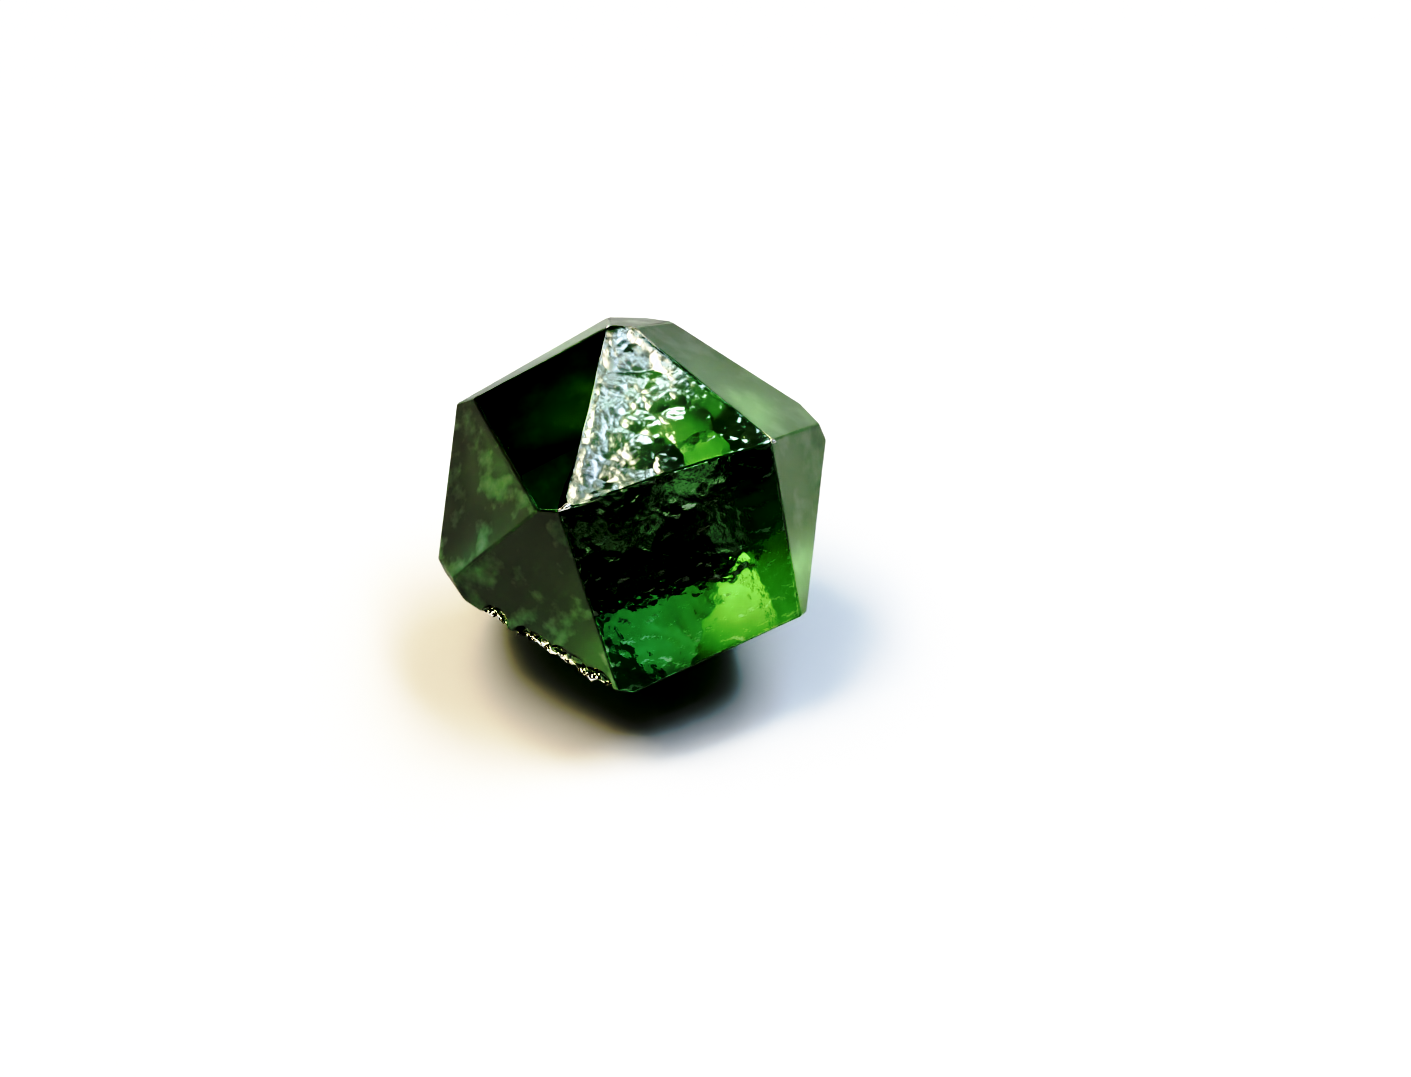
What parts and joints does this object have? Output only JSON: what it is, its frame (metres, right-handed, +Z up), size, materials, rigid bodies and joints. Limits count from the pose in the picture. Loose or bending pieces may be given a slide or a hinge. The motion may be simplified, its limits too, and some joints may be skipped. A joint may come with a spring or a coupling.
{
  "type": "rough diamond",
  "caption": "Rough diamond crystal: a distorted dodecahedral form with flat faces, a hillocky top face, worn edges and a chipped lower edge, lying on one flat face.",
  "frame": {"origin": "on the flat face that the crystal rests on, under the middle of the crystal", "axes": "+Z up, away from the rest face; the large dark front face looks towards -Y and slightly to +X"},
  "size_m": [0.006, 0.0057, 0.0039],
  "materials": {
    "diamond_crystal": "natural crystal skin, glossy flat faces and bumpy etched ones"
  },
  "bodies": {
    "root": {"rough_diamond": "diamond_crystal"}
  },
  "joints": []
}
